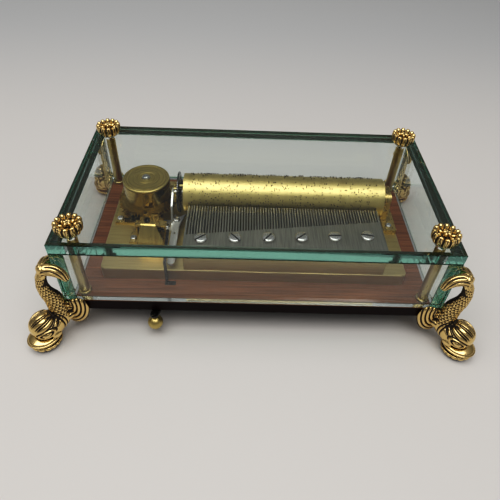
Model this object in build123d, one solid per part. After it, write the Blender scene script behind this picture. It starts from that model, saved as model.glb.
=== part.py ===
from build123d import *
from math import atan2, cos, degrees, hypot, radians, sin
import os

# Wind-up music box: a 72-tooth, three-tune cylinder movement in a glass case.
# Millimetres, +Z up, +Y to the back, origin on the table under the middle of the case.

# ---- driving dimensions -------------------------------------------------------------------
CASE_LENGTH = 210.0
CASE_WIDTH = 114.0
GLASS = 6.0
BASE_BOTTOM = 17.0
BASE_TOP = 24.2
WALL_TOP = 59.7
CASE_TOP = WALL_TOP + GLASS

BED_LEFT = -88.0
BED_RIGHT = 87.0
BED_FRONT = -37.3
BED_BACK = 39.0
BED_THICK = 8.0
BED_TOP = BASE_TOP + BED_THICK

CYL_Y = 9.5
CYL_Z = 46.0
CYL_RADIUS = 11.6
CYL_WALL = 0.8
CYL_LEFT = -43.8
CYL_RIGHT = 76.9
PIN_TIP_RADIUS = 12.35
ARBOR_RADIUS = 1.5
SHIFT_TRAVEL = 0.8

TEETH = 72
COMB_LEFT = -40.7
COMB_RIGHT = 73.0
COMB_FRONT = -37.5
COMB_TIP_Y = CYL_Y - 12.45
COMB_THICK = 2.2
TOOTH_THICK = 1.1
BASS_ROOT_Y = -28.4
TREBLE_ROOT_Y = -12.4

BARREL_X = -66.5
BARREL_Y = CYL_Y
BARREL_RADIUS = 13.9
BARREL_BOTTOM = 40.2
BARREL_TOP = 56.0
FLANGE_TEETH = 54
FLANGE_TIP = 18.0
FLANGE_ROOT = 16.0
FLANGE_THICK = 1.4
WIND_ARBOR_RADIUS = 3.0

CROWN_TEETH = 17
RATCHET_TEETH = 24
FIRST_PINION = 9
FIRST_WHEEL = 32
SECOND_PINION = 8
SECOND_WHEEL = 26

POST_X = 95.0
POST_Y = 47.0
POST_RADIUS = 2.75

FIT = 0.05          # radial clearance of a shaft or a screw in its hole


# ---- small helpers ------------------------------------------------------------------------
def block(x0, x1, y0, y1, z0, z1):
    """A box given by its limits."""
    return Pos((x0 + x1) / 2, (y0 + y1) / 2, (z0 + z1) / 2) * Box(x1 - x0, y1 - y0, z1 - z0)


def rod(x, y, z0, z1, radius):
    """An upright round bar."""
    return Pos(x, y, (z0 + z1) / 2) * Cylinder(radius, z1 - z0)


def rod_x(x0, x1, y, z, radius):
    """A round bar along X."""
    return Pos((x0 + x1) / 2, y, z) * Rot(0, 90, 0) * Cylinder(radius, x1 - x0)


def plate(points, z0, z1):
    """A flat plate with the outline given in X and Y."""
    face = make_face(Polyline(*points, close=True))
    return Pos(0, 0, z0) * extrude(face, z1 - z0)


def bar(start, end, width, z0, z1):
    """A flat strip with round ends between two points."""
    length = hypot(end[0] - start[0], end[1] - start[1])
    turn = degrees(atan2(end[1] - start[1], end[0] - start[0]))
    outline = SlotCenterToCenter(length, width)
    middle = Pos((start[0] + end[0]) / 2, (start[1] + end[1]) / 2, z0)
    return middle * Rot(0, 0, turn) * extrude(outline, z1 - z0)


def side_plate(points, x0, x1):
    """A flat plate that stands across X, with the outline given in Y and Z."""
    face = make_face(Polyline(*points, close=True))
    return Pos(x0, 0, 0) * (Plane.YZ * extrude(face, x1 - x0))


def polar(radius, angle):
    """The X and Y of a point at a radius and an angle in degrees."""
    return (radius * cos(radians(angle)), radius * sin(radians(angle)))


def gear(teeth, root, tip, thick, phase=0.0, root_share=0.5, tip_share=0.24):
    """A spur wheel with tapered teeth, one tooth centred on the phase angle."""
    pitch = 360 / teeth
    points = []
    for k in range(teeth):
        middle = phase + k * pitch
        points.append(polar(root, middle - pitch * root_share / 2))
        points.append(polar(tip, middle - pitch * tip_share / 2))
        points.append(polar(tip, middle + pitch * tip_share / 2))
        points.append(polar(root, middle + pitch * root_share / 2))
    return plate(points, 0, thick)


def screw(x, y, seat, head_radius, head_height, shank_radius, depth, slot_turn=0.0, slot=0.7):
    """A slotted screw with a rounded head that sits on the height called seat."""
    head = rod(x, y, seat, seat + head_height, head_radius)
    head = fillet(head.edges().sort_by(Axis.Z)[-1], head_height * 0.45)
    groove = Rot(0, 0, slot_turn) * Box(2.2 * head_radius, slot, head_height * 0.9)
    head = head - Pos(x, y, seat + head_height) * groove
    return head + rod(x, y, seat - depth, seat, shank_radius)


def corners(dx, dy):
    """The four corners of a rectangle about the origin, with their names."""
    return {
        "front_left": (-dx, -dy),
        "front_right": (dx, -dy),
        "back_left": (-dx, dy),
        "back_right": (dx, dy),
    }


def save(name, shape):
    """Write one node."""
    export_step(shape, f"parts/{name}.step")


# ---- case ---------------------------------------------------------------------------------
BED_SCREWS = [(-80.0, -30.0), (-80.0, 32.0), (79.0, -30.0), (79.0, 32.0)]
PLATFORM_SCREWS = [(-32.0, -34.0), (16.0, -34.0), (66.0, -34.0)]
FOOT_SCREW_INSET = 6.4
STUD_RADIUS = 1.5
STOP_SLOT = (-51.6, -45.4, -41.6, -38.4)
STOP_PIVOT = (-48.5, -14.0)
LOWER_PETALS = 13
UPPER_PETALS = 9


def base_board():
    """The wooden board that carries the glass, the movement and the feet."""
    half_x, half_y = CASE_LENGTH / 2, CASE_WIDTH / 2
    board = block(-half_x, half_x, -half_y, half_y, BASE_BOTTOM, BASE_TOP)
    board = board - rod(BARREL_X, BARREL_Y, BASE_BOTTOM - 1, BASE_TOP + 1, 5.0)
    board = board - block(*STOP_SLOT, BASE_BOTTOM - 1, BASE_TOP + 1)
    board = board - rod(*STOP_PIVOT, BASE_BOTTOM - 1, 22.0, 1.2 + FIT)
    for x, y in BED_SCREWS:
        board = board - rod(x, y, BASE_BOTTOM - 1, BASE_TOP + 1, 1.6)
    for x, y in corners(POST_X, POST_Y).values():
        board = board - rod(x, y, BASE_TOP - 5.2, BASE_TOP + 1, STUD_RADIUS + FIT)
    for x, y in corners(half_x - FOOT_SCREW_INSET, half_y - FOOT_SCREW_INSET).values():
        board = board - rod(x, y, BASE_BOTTOM - 1, 22.2, STUD_RADIUS + FIT)
    return board


def panes():
    """Four upright glass walls, the long ones covering the ends of the short ones."""
    half_x, half_y = CASE_LENGTH / 2, CASE_WIDTH / 2
    inner_y = half_y - GLASS
    save("front_pane", block(-half_x, half_x, -half_y, -inner_y, BASE_TOP, WALL_TOP))
    save("back_pane", block(-half_x, half_x, inner_y, half_y, BASE_TOP, WALL_TOP))
    save("left_pane", block(-half_x, GLASS - half_x, -inner_y, inner_y, BASE_TOP, WALL_TOP))
    save("right_pane", block(half_x - GLASS, half_x, -inner_y, inner_y, BASE_TOP, WALL_TOP))
    top = block(-half_x, half_x, -half_y, half_y, WALL_TOP, CASE_TOP)
    top = chamfer(top.edges().group_by(Axis.Z)[-1], 0.5)
    for x, y in corners(POST_X, POST_Y).values():
        top = top - rod(x, y, WALL_TOP - 1, CASE_TOP + 1, 3.0)
    save("top_pane", top)


def post(x, y):
    """A brass pillar with a threaded stud at each end."""
    body = rod(x, y, BASE_TOP, WALL_TOP, POST_RADIUS)
    collar = fillet(rod(x, y, BASE_TOP, BASE_TOP + 2.0, 3.6).edges().sort_by(Axis.Z)[-1], 0.6)
    return body + collar + rod(x, y, BASE_TOP - 5.0, CASE_TOP + 3.4, STUD_RADIUS)


def rosette(x, y):
    """A gilt flower nut with two rings of petals round a boss."""
    bottom = CASE_TOP + 0.4
    middle = bottom + 2.4
    flower = rod(0, 0, bottom, middle, 5.6)
    for k in range(LOWER_PETALS):
        px, py = polar(5.7, k * 360 / LOWER_PETALS)
        flower = flower + rod(px, py, bottom, middle, 1.75)
    flower = flower + rod(0, 0, middle, middle + 2.4, 3.6)
    for k in range(UPPER_PETALS):
        px, py = polar(3.7, (k + 0.5) * 360 / UPPER_PETALS)
        flower = flower + rod(px, py, middle, middle + 2.0, 1.5)
    flower = flower + Pos(0, 0, bottom + 4.6) * Sphere(3.0)
    flower = flower - rod(0, 0, bottom - 3.2, bottom + 3.2, STUD_RADIUS + FIT)
    return Pos(x, y, 0) * flower


# ---- dolphin feet -------------------------------------------------------------------------
# The foot lies in the upright plane through a corner of the case. Its own X runs outwards
# from the corner and its Z is the height above the table.
BODY_LINE = [
    ((14.0, 0, 14.4), 8.4),
    ((8.0, 0, 13.6), 6.6),
    ((4.4, 0, 17.0), 5.6),
    ((4.2, 0, 24.0), 5.2),
    ((5.2, 0, 31.0), 4.5),
    ((7.4, 0, 38.0), 3.5),
    ((7.9, 0, 44.0), 3.0),
    ((6.8, 0, 49.5), 2.7),
    ((4.2, 0, 53.6), 2.8),
]


def limb(line):
    """A rounded limb through a list of centres and radii."""
    shape = Pos(*line[0][0]) * Sphere(line[0][1])
    for (start, r0), (end, r1) in zip(line, line[1:]):
        first, last = Vector(*start), Vector(*end)
        along = last - first
        frame = Plane(origin=(first + last) * 0.5, z_dir=along)
        shape = shape + frame.location * Cone(r0, r1, along.length)
        shape = shape + Pos(*end) * Sphere(r1)
    return shape


def dolphin():
    """The foot about a corner of the case, standing on a flat patch under its chin."""
    shape = limb(BODY_LINE)
    shape = shape + limb([((14.0, 0, 9.0), 6.6), ((20.6, 0, 5.7), 6.3)])
    for side in (-1, 1):
        lobe = [((4.2, 0, 53.6), 2.6), ((-1.2, 5.4 * side, 52.0), 2.2), ((-2.6, 8.0 * side, 46.4), 1.6)]
        shape = shape + limb(lobe)
        fin = Pos(-4.0, 6.6 * side, 16.4) * Rot(0, 0, -45 * side) * Rot(90, 0, 0) * Cylinder(8.4, 3.4)
        shape = shape + fin
    shelf = Pos(-3.5, 0, 15.0) * Box(17.0, 11.0, 4.0)
    return shape + shelf


def feet():
    """Four feet, turned to face out of each corner, with their screws."""
    half_x, half_y = CASE_LENGTH / 2, CASE_WIDTH / 2
    model = dolphin()
    seat = block(-half_x, half_x, -half_y, half_y, BASE_BOTTOM, CASE_TOP + 10)
    floor = block(-200, 200, -200, 200, -30, 0)
    screws = []
    for name, (x, y) in corners(half_x, half_y).items():
        turned = Pos(x, y, 0) * Rot(0, 0, degrees(atan2(y / half_y, x / half_x))) * model
        sx = x - FOOT_SCREW_INSET * x / half_x
        sy = y - FOOT_SCREW_INSET * y / half_y
        hole = rod(sx, sy, 0, BASE_BOTTOM + 1, STUD_RADIUS + FIT)
        well = rod(sx, sy, 0, 14.6, 2.9)
        save(f"dolphin_foot_{name}", turned - seat - floor - hole - well)
        screws.append(upside_down_screw(sx, sy, 14.6, 2.6, 1.5, STUD_RADIUS, 21.8))
    save("foot_screws", Compound(children=screws))


def upside_down_screw(x, y, seat, head_radius, head_height, shank_radius, top):
    """A screw driven up from below against the height called seat."""
    head = rod(x, y, seat - head_height, seat, head_radius)
    groove = Pos(x, y, seat - head_height) * Box(2.2 * head_radius, 0.8, head_height * 0.9)
    return head - groove + rod(x, y, seat, top, shank_radius)


# ---- movement frame -----------------------------------------------------------------------
BRACKET_SCREWS = [
    ((-53.9, -8.6), 33.7),
    ((81.9, -4.6), 35.5),
    ((81.9, 18.6), 35.5),
    ((-82.6, -3.0), 34.0),
    ((-82.6, 23.0), 34.0),
    ((-72.0, -19.0), 33.2),
    ((-56.4, -20.4), 33.2),
]
LEVER_PIVOT = (-47.9, -6.5)
CLICK_PIVOT = (-75.5, 0.2)


def bedplate():
    """The thick brass plate that everything in the movement is screwed to."""
    body = block(BED_LEFT, BED_RIGHT, BED_FRONT, BED_BACK, BASE_TOP, BED_TOP)
    body = fillet(body.edges().filter_by(Axis.Z), 3.0)
    body = chamfer(body.edges().group_by(Axis.Z)[-1], 0.4)
    body = body - rod(BARREL_X, BARREL_Y, BASE_TOP - 1, BED_TOP + 1, WIND_ARBOR_RADIUS + FIT)
    for x, y in BED_SCREWS:
        body = body - rod(x, y, BASE_TOP - 1, BASE_TOP + 6, 1.5 + FIT)
    for x, y in PLATFORM_SCREWS:
        body = body - rod(x, y, BASE_TOP - 1, BED_TOP + 1, 1.5 + FIT)
        body = body - rod(x, y, BASE_TOP - 1, BASE_TOP + 2.2, 3.0)
    for (x, y), _ in BRACKET_SCREWS:
        body = body - rod(x, y, BED_TOP - 3.6, BED_TOP + 1, 0.9 + FIT)
    return body - rod(*LEVER_PIVOT, BED_TOP - 3.6, BED_TOP + 1, 1.2 + FIT)


def bedplate_screws():
    """Four screws up through the board, and three that hold the comb platform."""
    screws = []
    for x, y in BED_SCREWS:
        screws.append(upside_down_screw(x, y, BASE_BOTTOM, 2.8, 1.4, 1.5, BASE_TOP + 5.6))
    for x, y in PLATFORM_SCREWS:
        screws.append(upside_down_screw(x, y, BASE_TOP + 2.2, 2.7, 1.6, 1.5, BED_TOP + 4))
    return Compound(children=screws)


def left_bearing():
    """A flat nickelled cock that reaches over the barrel flange to the cylinder arbor."""
    side = [
        (-12.0, BED_TOP),
        (-2.6, BED_TOP),
        (-1.0, 42.3),
        (9.5, 42.6),
        (12.4, 46.0),
        (9.5, 49.2),
        (5.6, 48.6),
        (-2.6, 44.6),
        (-6.6, 34.4),
        (-12.0, 33.7),
    ]
    web = side_plate(side, -51.3, -50.3)
    foot = block(-56.2, -50.3, -12.0, -2.6, BED_TOP, 33.7)
    cock = web + foot - rod_x(-53, -49, CYL_Y, CYL_Z, 1.0 + FIT)
    return cock - rod(*BRACKET_SCREWS[0][0], BED_TOP - 1, 40, 0.9 + FIT)


def right_bearing():
    """A solid bracket with a long foot at the treble end of the cylinder."""
    foot = block(78.3, 86.4, -8.6, 22.4, BED_TOP, 35.5)
    upright = block(78.3, 82.3, 2.6, 16.4, BED_TOP, 52.0)
    upright = fillet(upright.edges().filter_by(Axis.X).group_by(Axis.Z)[-1], 4.0)
    bracket = foot + upright - rod_x(77, 84, CYL_Y, CYL_Z, 1.0 + FIT)
    for (x, y), _ in BRACKET_SCREWS[1:3]:
        bracket = bracket - rod(x, y, BED_TOP - 1, 40, 0.9 + FIT)
    return bracket


def bracket_screws():
    """The like screws that hold the bearings, the barrel bridge and the governor frame."""
    screws = []
    for k, ((x, y), seat) in enumerate(BRACKET_SCREWS):
        screws.append(screw(x, y, seat, 1.9, 1.2, 0.9, seat - BED_TOP + 3.2, slot_turn=37 * k, slot=0.5))
    return Compound(children=screws)


# ---- comb ---------------------------------------------------------------------------------
SLIT = 0.52
COMB_SCREW_COUNT = 6
COMB_SCREW_FIRST = (-31.0, -31.8)
COMB_SCREW_LAST = (62.9, -27.0)
COMB_SCREW_TURNS = [40, -48, 52, 40, 4, -12]


def root_y(x):
    """Where the slits end: long teeth on the bass side, short ones on the treble side."""
    share = (x - COMB_LEFT) / (COMB_RIGHT - COMB_LEFT)
    return BASS_ROOT_Y + share * (TREBLE_ROOT_Y - BASS_ROOT_Y)


def comb_screw_places():
    """The row of comb screws, which runs slightly askew to the front edge."""
    places = []
    for k in range(COMB_SCREW_COUNT):
        share = k / (COMB_SCREW_COUNT - 1)
        x = COMB_SCREW_FIRST[0] + share * (COMB_SCREW_LAST[0] - COMB_SCREW_FIRST[0])
        y = COMB_SCREW_FIRST[1] + share * (COMB_SCREW_LAST[1] - COMB_SCREW_FIRST[1])
        places.append((x, y))
    return places


def comb():
    """The steel comb, cut into its teeth and thinned under them."""
    pitch = (COMB_RIGHT - COMB_LEFT) / TEETH
    outline = [
        (COMB_LEFT, COMB_FRONT),
        (COMB_RIGHT, COMB_FRONT),
        (COMB_RIGHT, COMB_TIP_Y),
        (COMB_LEFT, COMB_TIP_Y),
    ]
    body = plate(outline, CYL_Z - COMB_THICK, CYL_Z)
    relief = [
        (COMB_LEFT - 1, root_y(COMB_LEFT) + 1.0),
        (COMB_RIGHT + 1, root_y(COMB_RIGHT) + 1.0),
        (COMB_RIGHT + 1, COMB_TIP_Y + 1),
        (COMB_LEFT - 1, COMB_TIP_Y + 1),
    ]
    body = body - plate(relief, CYL_Z - COMB_THICK - 1, CYL_Z - TOOTH_THICK)
    slits = []
    for k in range(1, TEETH):
        x = COMB_LEFT + k * pitch
        left, right = x - SLIT / 2, x + SLIT / 2
        slits.append(block(left, right, root_y(x), COMB_TIP_Y + 1, CYL_Z - COMB_THICK - 1, CYL_Z + 1))
    body = body - slits
    for x, y in comb_screw_places():
        body = body - rod(x, y, CYL_Z - COMB_THICK - 1, CYL_Z + 1, 1.6 + FIT)
    return body


def comb_platform():
    """The brass block under the comb's solid edge."""
    top = CYL_Z - COMB_THICK
    outline = [
        (COMB_LEFT, COMB_FRONT + 0.6),
        (COMB_RIGHT, COMB_FRONT + 0.6),
        (COMB_RIGHT, root_y(COMB_RIGHT) - 1.4),
        (COMB_LEFT, root_y(COMB_LEFT) - 1.4),
    ]
    body = plate(outline, BED_TOP, top)
    for x, y in comb_screw_places():
        body = body - rod(x, y, top - 7.6, top + 1, 1.6 + FIT)
    for x, y in PLATFORM_SCREWS:
        body = body - rod(x, y, BED_TOP - 1, BED_TOP + 5.4, 1.5 + FIT)
    return body


def comb_screws():
    """Six large domed screws."""
    screws = []
    for (x, y), turn in zip(comb_screw_places(), COMB_SCREW_TURNS):
        screws.append(screw(x, y, CYL_Z, 3.8, 1.9, 1.6, COMB_THICK + 7.2, slot_turn=turn, slot=0.9))
    return Compound(children=screws)


def comb_weights():
    """Lead weights under the tips of the bass teeth, smaller towards the middle of the comb."""
    pitch = (COMB_RIGHT - COMB_LEFT) / TEETH
    weights = []
    for k in range(28):
        x = COMB_LEFT + (k + 0.5) * pitch
        deep = 3.4 - 0.09 * k
        long = 6.4 - 0.13 * k
        weights.append(block(x - 0.45, x + 0.45, COMB_TIP_Y - 0.8 - long, COMB_TIP_Y - 0.8,
                             CYL_Z - TOOTH_THICK - deep, CYL_Z - TOOTH_THICK))
    return Compound(children=weights)


def comb_dampers():
    """Fine steel damper strips under the teeth that have no weight, each fixed near the tip."""
    pitch = (COMB_RIGHT - COMB_LEFT) / TEETH
    dampers = []
    for k in range(30, 62):
        x = COMB_LEFT + (k + 0.5) * pitch
        dampers.append(block(x - 0.2, x + 0.2, COMB_TIP_Y - 4.2, COMB_TIP_Y - 1.0,
                             CYL_Z - TOOTH_THICK - 0.6, CYL_Z - TOOTH_THICK))
    return Compound(children=dampers)


# ---- cylinder -----------------------------------------------------------------------------
CAP_THICK = 2.0
CROWN_TIP_X = -50.0
CROWN_ROOT_X = -48.3
CROWN_BACK_X = -47.6
CROWN_INNER = 4.6
CROWN_OUTER = 6.2
PIN_ROWS = 36
PINS_PER_ROW = 9


def cylinder_tube():
    """The thin brass tube."""
    outer = rod_x(CYL_LEFT, CYL_RIGHT, CYL_Y, CYL_Z, CYL_RADIUS)
    return outer - rod_x(CYL_LEFT - 1, CYL_RIGHT + 1, CYL_Y, CYL_Z, CYL_RADIUS - CYL_WALL)


def cylinder_cap(x0, x1):
    """A disc that fills an end of the tube and slides on the arbor."""
    disc = rod_x(x0, x1, CYL_Y, CYL_Z, CYL_RADIUS - CYL_WALL - 0.02)
    return disc - rod_x(x0 - 5, x1 + 5, CYL_Y, CYL_Z, ARBOR_RADIUS + FIT)


def cylinder_left_cap():
    """The bass cap, with the stud that rests against the tune wheel."""
    stud = rod_x(-46.2, CYL_LEFT + 0.5, CYL_Y - 4.0, CYL_Z + 8.0, 0.7)
    return cylinder_cap(CYL_LEFT, CYL_LEFT + CAP_THICK) + stud


def cylinder_pins():
    """A sample of the fine steel pins, set in rows round the tube."""
    pins = []
    foot = CYL_RADIUS - 0.5
    spacing = (CYL_RIGHT - CYL_LEFT - 8) / PIN_ROWS
    for row in range(PIN_ROWS):
        x = CYL_LEFT + 4 + (row + 0.5) * spacing
        for k in range(PINS_PER_ROW):
            turn = k * 360 / PINS_PER_ROW + row * 23.7
            pin = rod(0, 0, foot, PIN_TIP_RADIUS, 0.2)
            pins.append(Pos(x, CYL_Y, CYL_Z) * Rot(turn, 0, 0) * pin)
    return Compound(children=pins)


def cylinder_arbor():
    """The steel shaft, with a thinner pivot at each end and a collar for the spring."""
    shaft = rod_x(CROWN_TIP_X, 77.9, CYL_Y, CYL_Z, ARBOR_RADIUS)
    pivots = rod_x(-52.0, 83.4, CYL_Y, CYL_Z, 1.0)
    return shaft + pivots + rod_x(-28.0, -26.0, CYL_Y, CYL_Z, 3.4)


def great_wheel():
    """The crown wheel on the arbor, whose teeth dip into the barrel's toothed flange."""
    disc = rod_x(CROWN_ROOT_X, CROWN_BACK_X, CYL_Y, CYL_Z, CROWN_OUTER + 0.2)
    tooth = block(CROWN_TIP_X, CROWN_ROOT_X + 0.2, -0.23, 0.23, CROWN_INNER, CROWN_OUTER)
    for k in range(CROWN_TEETH):
        turn = 180 + k * 360 / CROWN_TEETH
        disc = disc + Pos(0, CYL_Y, CYL_Z) * Rot(turn, 0, 0) * tooth
    return disc - rod_x(-60, -40, CYL_Y, CYL_Z, ARBOR_RADIUS + 0.02)


def tune_wheel():
    """The steel snail with three steps, and its nine-pointed star, loose on the arbor."""
    disc = rod_x(-47.5, -47.1, CYL_Y, CYL_Z, 12.4)
    for k, top in enumerate((-46.9, -46.7, -46.5)):
        ring = rod_x(-47.1, top, CYL_Y, CYL_Z, 12.4)
        third = [(0, 0), polar(30, 120 * k), polar(34, 120 * k + 60), polar(30, 120 * k + 119)]
        wedge = side_plate(third, -49, -45)
        disc = disc + (ring & (Pos(0, CYL_Y, CYL_Z) * wedge))
    star = Pos(-47.1, CYL_Y, CYL_Z) * (Plane.YZ * gear(9, 4.0, 5.8, 1.5, root_share=0.9, tip_share=0.1))
    return disc + star - rod_x(-50, -44, CYL_Y, CYL_Z, ARBOR_RADIUS + FIT)


def shift_spring():
    """The coil inside the tube that keeps the cylinder against the tune wheel."""
    path = Helix(pitch=1.9, height=11.4, radius=2.7)
    section = Plane(origin=path @ 0, z_dir=path % 0) * Circle(0.3)
    coil = sweep(section, path=path)
    return Pos(CYL_LEFT + CAP_THICK + 0.5, CYL_Y, CYL_Z) * Rot(0, 90, 0) * coil


# ---- barrel and winding work --------------------------------------------------------------
def barrel_drum():
    """The spring drum, with its toothed flange below and a small step above the flange."""
    drum = rod(BARREL_X, BARREL_Y, BARREL_BOTTOM, BARREL_TOP - 1.4, BARREL_RADIUS)
    step = rod(BARREL_X, BARREL_Y, BARREL_BOTTOM, 43.2, 14.9)
    teeth = gear(FLANGE_TEETH, FLANGE_ROOT, FLANGE_TIP, FLANGE_THICK, phase=180 / FLANGE_TEETH)
    flange = Pos(BARREL_X, BARREL_Y, BARREL_BOTTOM) * teeth
    hub = rod(BARREL_X, BARREL_Y, 36.4, BARREL_BOTTOM + 1, 5.0)
    body = drum + step + flange + hub
    body = body - rod(BARREL_X, BARREL_Y, BARREL_BOTTOM + 1.6, BARREL_TOP, BARREL_RADIUS - 1.0)
    return body - rod(BARREL_X, BARREL_Y, 30, 50, WIND_ARBOR_RADIUS + FIT)


def barrel_lid():
    """The lid pressed on the drum, with a bevelled rim."""
    lid = rod(BARREL_X, BARREL_Y, BARREL_TOP - 1.4, BARREL_TOP, BARREL_RADIUS)
    lid = chamfer(lid.edges().sort_by(Axis.Z)[-1], 0.7)
    return lid - rod(BARREL_X, BARREL_Y, 50, 60, 1.8 + FIT)


def mainspring():
    """The wound steel strip inside the drum."""
    turns, inner, gap, thick, per_turn = 7, 3.5, 1.2, 0.35, 24
    line = []
    for k in range(turns * per_turn + 1):
        share = k / per_turn
        line.append((inner + gap * share, 360 * share))
    near = [polar(radius, angle) for radius, angle in line]
    far = [polar(radius + thick, angle) for radius, angle in reversed(line)]
    strip = plate(near + far, BARREL_BOTTOM + 2.2, BARREL_TOP - 2.0)
    return Pos(BARREL_X, BARREL_Y, 0) * strip


def barrel_arbor():
    """The winding arbor, from the key thread under the board to the lid."""
    arbor = rod(BARREL_X, BARREL_Y, 8.0, BARREL_TOP - 1.6, WIND_ARBOR_RADIUS)
    return arbor + rod(BARREL_X, BARREL_Y, BARREL_TOP - 1.7, BARREL_TOP + 0.05, 1.8)


def arbor_screw():
    """The screw and its washer on top of the arbor."""
    seat = BARREL_TOP + 0.45
    washer = rod(BARREL_X, BARREL_Y, BARREL_TOP + 0.05, seat, 2.4)
    return washer + screw(BARREL_X, BARREL_Y, seat, 1.8, 1.0, 1.2, 0.2, slot_turn=20, slot=0.5)


def ratchet_wheel():
    """The saw-toothed wheel fixed on the winding arbor."""
    pitch = 360 / RATCHET_TEETH
    points = []
    for k in range(RATCHET_TEETH):
        points.append(polar(6.9, 268 + k * pitch))
        points.append(polar(8.0, 268 + k * pitch))
    wheel = Pos(BARREL_X, BARREL_Y, 0) * plate(points, 34.3, 35.8)
    return wheel - rod(BARREL_X, BARREL_Y, 30, 40, WIND_ARBOR_RADIUS + 0.02)


def click():
    """The pawl that drops behind a ratchet tooth."""
    outline = [(-76.2, -1.3), (-66.9, -0.8), (-66.9, 2.1), (-67.3, 1.9), (-68.0, 0.7), (-74.6, 1.7)]
    arm = plate(outline, 34.3, 35.7) + rod(*CLICK_PIVOT, 34.3, 35.7, 1.9)
    return arm - rod(*CLICK_PIVOT, 30, 40, 0.9 + FIT)


def click_spring():
    """A bent leaf of blued steel beside the click."""
    leaf = bar((-79.2, -4.4), (-72.4, -2.4), 0.4, 34.1, 35.5)
    return leaf + rod(-79.2, -4.4, 34.0, 35.6, 0.8)


def barrel_bridge():
    """The plate on the bedplate that the arbor, the click and its spring stand on."""
    outline = [(-85.4, -6.4), (-57.6, -6.4), (-57.6, 22.0), (-62.0, 27.4), (-85.4, 27.4)]
    body = plate(outline, BED_TOP, 34.0)
    body = body - rod(BARREL_X, BARREL_Y, 30, 40, WIND_ARBOR_RADIUS + FIT)
    for (x, y), _ in BRACKET_SCREWS[3:5]:
        body = body - rod(x, y, 30, 40, 0.9 + FIT)
    return body - rod(*CLICK_PIVOT, 30, 40, 0.9 + FIT)


def winding_key():
    """The folding-wing key under the board, screwed on the arbor."""
    hub = rod(BARREL_X, BARREL_Y, 5.5, 15.0, 4.2)
    hub = hub - rod(BARREL_X, BARREL_Y, 8.0, 16.0, WIND_ARBOR_RADIUS + 0.02)
    wings = extrude(SlotCenterToCenter(15.0, 10.0), 1.0, both=True)
    wings = Pos(BARREL_X, BARREL_Y, 8.4) * Rot(0, 0, 35) * Rot(90, 0, 0) * wings
    bite = rod(BARREL_X, BARREL_Y, 8.0, 20.0, WIND_ARBOR_RADIUS + 0.02)
    key = hub + wings - bite
    for side in (-1, 1):
        x, y = polar(8.4 * side, 35)
        hole = Pos(BARREL_X + x, BARREL_Y + y, 8.4) * Rot(0, 0, 35) * Rot(90, 0, 0) * Cylinder(2.2, 6)
        key = key - hole
    return key


# ---- governor -----------------------------------------------------------------------------
GOVERNOR_TURN = -13 * 360 / FLANGE_TEETH
GOVERNOR_REACH = 20.15
FIRST_X = BARREL_X + polar(GOVERNOR_REACH, GOVERNOR_TURN)[0]
FIRST_Y = BARREL_Y + polar(GOVERNOR_REACH, GOVERNOR_TURN)[1]
SECOND_TURN = -7.0
SECOND_REACH = 6.5
SECOND_X = FIRST_X + polar(SECOND_REACH, SECOND_TURN)[0]
SECOND_Y = FIRST_Y + polar(SECOND_REACH, SECOND_TURN)[1]
WORM_Y = SECOND_Y - 5.8
WORM_Z = 39.0
COCK_BOTTOM = 42.4
UPRIGHT_LEFT = (-69.8, -69.0)
UPRIGHT_RIGHT = (-53.4, -52.6)


def pivoted_arbor(x, y):
    """An upright arbor with a thin pivot at each end."""
    return rod(x, y, 33.3, 42.3, 0.8) + rod(x, y, 32.4, 43.2, 0.45)


def first_wheel():
    """The governor's first wheel and the pinion that the barrel flange turns."""
    mesh = GOVERNOR_TURN + 180
    pinion = gear(FIRST_PINION, 1.9, 3.55, 1.8, phase=mesh, root_share=0.44, tip_share=0.16)
    mesh = SECOND_TURN + 180 / FIRST_WHEEL
    wheel = gear(FIRST_WHEEL, 4.75, 5.4, 1.0, phase=mesh, root_share=0.46)
    train = pivoted_arbor(FIRST_X, FIRST_Y) + Pos(FIRST_X, FIRST_Y, 40.0) * pinion
    return train + Pos(FIRST_X, FIRST_Y, 34.6) * wheel


def second_wheel():
    """The second wheel, which drives the endless screw, and its pinion."""
    pinion = gear(SECOND_PINION, 0.95, 1.55, 1.4, phase=SECOND_TURN + 180, tip_share=0.16)
    wheel = gear(SECOND_WHEEL, 4.0, 4.5, 1.4)
    train = pivoted_arbor(SECOND_X, SECOND_Y) + Pos(SECOND_X, SECOND_Y, 34.4) * pinion
    return train + Pos(SECOND_X, SECOND_Y, 38.3) * wheel


def endless_screw():
    """The worm and its two-winged air brake."""
    shaft = rod_x(UPRIGHT_LEFT[0] + 0.1, UPRIGHT_RIGHT[1] - 0.1, WORM_Y, WORM_Z, 0.5)
    core = rod_x(SECOND_X - 3.4, SECOND_X + 3.4, WORM_Y, WORM_Z, 0.8)
    for k in range(7):
        x = SECOND_X - 3.0 + k
        core = core + rod_x(x - 0.2, x + 0.2, WORM_Y, WORM_Z, 1.22)
    hub = rod_x(-68.0, -64.4, WORM_Y, WORM_Z, 1.0)
    wings = block(-67.8, -64.6, WORM_Y - 0.15, WORM_Y + 0.15, WORM_Z - 3.1, WORM_Z + 3.1)
    return shaft + core + hub + wings


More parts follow.
